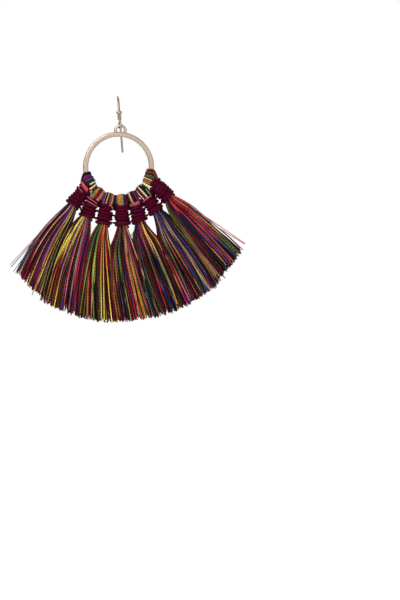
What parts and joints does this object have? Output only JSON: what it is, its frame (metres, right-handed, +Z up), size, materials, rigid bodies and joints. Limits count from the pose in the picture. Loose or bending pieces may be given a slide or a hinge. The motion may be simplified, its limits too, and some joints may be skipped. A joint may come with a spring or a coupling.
{
  "type": "dangle earring",
  "caption": "Drop earring: fish-hook ear wire, metal hoop hung by a bail, and a fan of bound thread tassels folded over the hoop.",
  "frame": {"origin": "seat on the ear: the inside top of the hook's arch, half way between its legs", "axes": "+X to the right seen from the front, +Y to the back (from the front leg to the tail), +Z up"},
  "size_m": [0.0786, 0.012, 0.0801],
  "materials": {
    "gold_metal": "satin pale rose gold plating",
    "mixed_thread": "twisted sewing thread in many colours",
    "burgundy_cord": "wound cotton cord",
    "dark_cord": "twisted cotton cord"
  },
  "bodies": {
    "hook": {"ear_wire": "gold_metal", "ear_bead": "gold_metal", "ear_coil": "gold_metal"},
    "drop": {"hoop": "gold_metal", "tassel_1": "mixed_thread", "tassel_2": "mixed_thread", "tassel_3": "mixed_thread", "tassel_4": "mixed_thread", "tassel_5": "mixed_thread", "tassel_6": "mixed_thread", "tassel_7": "mixed_thread", "neck_cord_1": "burgundy_cord", "neck_cord_2": "burgundy_cord", "neck_cord_3": "burgundy_cord", "neck_cord_4": "burgundy_cord", "neck_cord_5": "burgundy_cord", "neck_cord_6": "burgundy_cord", "neck_cord_7": "burgundy_cord", "link_cord_inner": "dark_cord", "link_cord_outer": "dark_cord"}
  },
  "joints": [
    {"name": "drop_swing", "type": "hinge", "parent": "hook", "child": "drop", "pos_m": [0.00093, -0.0043, -0.01176], "axis": [0, 1, 0], "range_deg": [-40, 40]}
  ]
}
